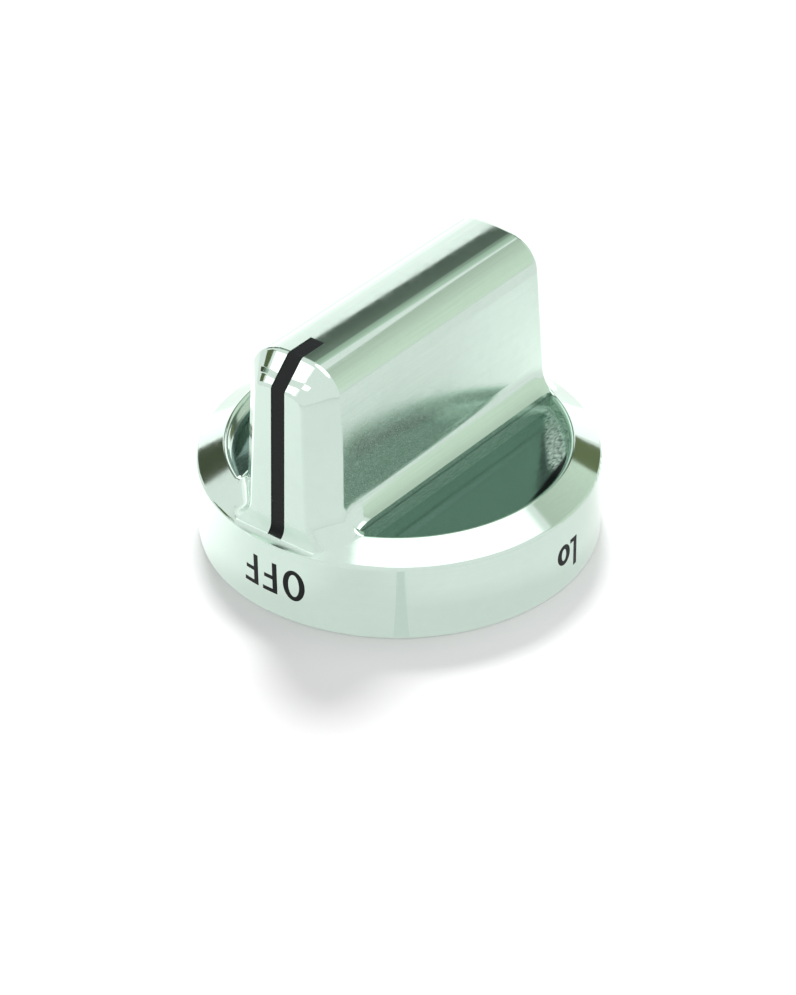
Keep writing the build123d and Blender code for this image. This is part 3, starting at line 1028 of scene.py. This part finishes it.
def make_softbox(studio):
    """The overhead softbox, a little to the right and towards the back, turned to face the knob."""
    centre = Vector((studio.softbox_shift, studio.softbox_shift, studio.softbox_height))
    reach = studio.softbox_reach
    glow = soft_edged(centre, reach, studio.softbox, 0.90)
    material = glow_material("softbox_glow", (1.0, 1.0, 1.0), glow)
    aim = -centre.normalized()
    across = Vector((1, 0, 0)) - aim * aim.x
    across.normalize()
    half = reach * PANEL_MARGIN
    box = flat_panel("softbox", centre, across, across.cross(aim) * -1.0, half, half, material)
    box.visible_camera = False
    box.visible_shadow = False


def make_cards():
    """The cards whose reflections draw the knob's bands, and the strip that draws the rim's streak."""
    plain = (1.0, 1.0, 1.0)
    white = rising([(0.0, 1.65), (0.35, 1.42), (0.55, 1.28), (0.94, 1.15)])
    dark = rising([(1.02, 0.13), (1.20, 0.17), (1.30, 0.26), (1.45, 0.41), (1.60, 0.58), (1.98, 0.75)])
    side = rising([(0.28, 0.94), (0.92, 0.88), (1.35, 0.77), (1.97, 0.65)])
    middle = toward(FRONT_AZIMUTH) * FRONT_DISTANCE + Vector((0, 0, FRONT_MIDDLE))
    front = soft_edged(middle, FRONT_HALF, 2.0, 0.6)
    low, high = FRONT_MIDDLE - FRONT_HALF, FRONT_MIDDLE + FRONT_HALF
    # Name, azimuth, distance, half width, bottom, top, colour and strength of each card
    cards = (
        ("card_white", -141.0, 1.50, 0.919, -0.6, 0.940, plain, white),
        ("card_dark", -141.0, 1.55, 1.42, 0.92, 1.98, (0.82, 1.0, 0.84), dark),
        ("card_left", -103.5, 1.45, 0.165, 0.335, 0.771, (0.075, 0.085, 0.050), 1.0),
        ("card_right", -177.5, 1.45, 0.125, 0.375, 0.720, (0.17, 0.20, 0.105), 1.0),
        ("card_side", 154.0, 1.60, 0.74, -0.6, 1.97, (0.87, 0.96, 0.84), side),
        ("card_front", FRONT_AZIMUTH, FRONT_DISTANCE, FRONT_HALF, low, high, plain, front),
        ("card_corner", -70.5, 1.00, 0.14, 0.33, 0.78, (0.13, 0.16, 0.075), 1.0),
    )
    for name, azimuth, distance, half_width, bottom, top, colour, strength in cards:
        glow = glow_material(f"{name}_glow", colour, strength)
        upright_card(name, azimuth, distance, half_width, bottom, top, glow)

    ahead = toward(STRIP_AZIMUTH)
    aside = Vector((-ahead.y, ahead.x, 0))
    centre = ahead * STRIP_DISTANCE + Vector((0, 0, STRIP_RISE))
    grey = glow_material("card_strip_glow", (0.80, 0.83, 0.82), 1.0)
    strip = flat_panel("card_strip", centre, ahead, aside, STRIP_HALF_LENGTH, STRIP_HALF_WIDTH, grey)
    reflect_only(strip)


def make_camera(studio):
    """The photograph's view: 35 degrees down, 39 degrees to the right of the pointer."""
    data = bpy.data.cameras.new("camera")
    data.lens = studio.lens
    data.sensor_width = 36.0
    camera = bpy.data.objects.new("camera", data)
    camera.location = CAMERA_PLACE
    camera.rotation_euler = [math.radians(angle) for angle in CAMERA_ANGLES]
    bpy.context.scene.collection.objects.link(camera)
    bpy.context.scene.camera = camera


class KNOB_OT_set_stage(Operator):
    """Set the plain studio: floor, even light, softbox, cards and camera"""

    bl_idname = "knob.set_stage"
    bl_label = "Set Stage"

    def execute(self, context):
        studio = context.scene.knob_studio
        make_floor(studio)
        make_world(studio)
        make_key(studio)
        make_softbox(studio)
        make_cards()
        make_camera(studio)
        context.scene.view_settings.view_transform = "Standard"
        return {"FINISHED"}


class KNOB_PT_looks(Panel):
    """Sidebar panel with each step of the knob's looks"""

    bl_label = "Stove Knob"
    bl_idname = "KNOB_PT_looks"
    bl_space_type = "VIEW_3D"
    bl_region_type = "UI"
    bl_category = "Stove Knob"

    def draw(self, context):
        layout = self.layout
        for operator, settings in STEPS:
            layout.operator(operator.bl_idname)
            if settings:
                group = getattr(context.scene, settings)
                for name in group.bl_rna.properties.keys():
                    if name not in {"rna_type", "name"}:
                        layout.prop(group, name)


STEPS = (
    (KNOB_OT_finish_shell, "knob_shell"),
    (KNOB_OT_finish_pointer, "knob_pointer"),
    (KNOB_OT_finish_insert, "knob_insert"),
    (KNOB_OT_finish_hardware, "knob_hardware"),
    (KNOB_OT_print_words, "knob_lettering"),
    (KNOB_OT_set_stage, "knob_studio"),
)
SETTINGS = {
    "knob_shell": ShellSettings,
    "knob_pointer": PointerSettings,
    "knob_insert": InsertSettings,
    "knob_hardware": HardwareSettings,
    "knob_lettering": LetteringSettings,
    "knob_studio": StudioSettings,
}


def register():
    """Registers the settings, the operators and the panel."""
    for name, group in SETTINGS.items():
        bpy.utils.register_class(group)
        setattr(bpy.types.Scene, name, PointerProperty(type=group))
    for operator, _ in STEPS:
        bpy.utils.register_class(operator)
    bpy.utils.register_class(KNOB_PT_looks)


def unregister():
    """Takes back what register added."""
    bpy.utils.unregister_class(KNOB_PT_looks)
    for operator, _ in reversed(STEPS):
        bpy.utils.unregister_class(operator)
    for name, group in reversed(SETTINGS.items()):
        delattr(bpy.types.Scene, name)
        bpy.utils.unregister_class(group)


def main():
    """Runs each step in order."""
    register()
    bpy.ops.knob.finish_shell()
    bpy.ops.knob.finish_pointer()
    bpy.ops.knob.finish_insert()
    bpy.ops.knob.finish_hardware()
    bpy.ops.knob.print_words()
    bpy.ops.knob.set_stage()


if __name__ == "__main__":
    main()
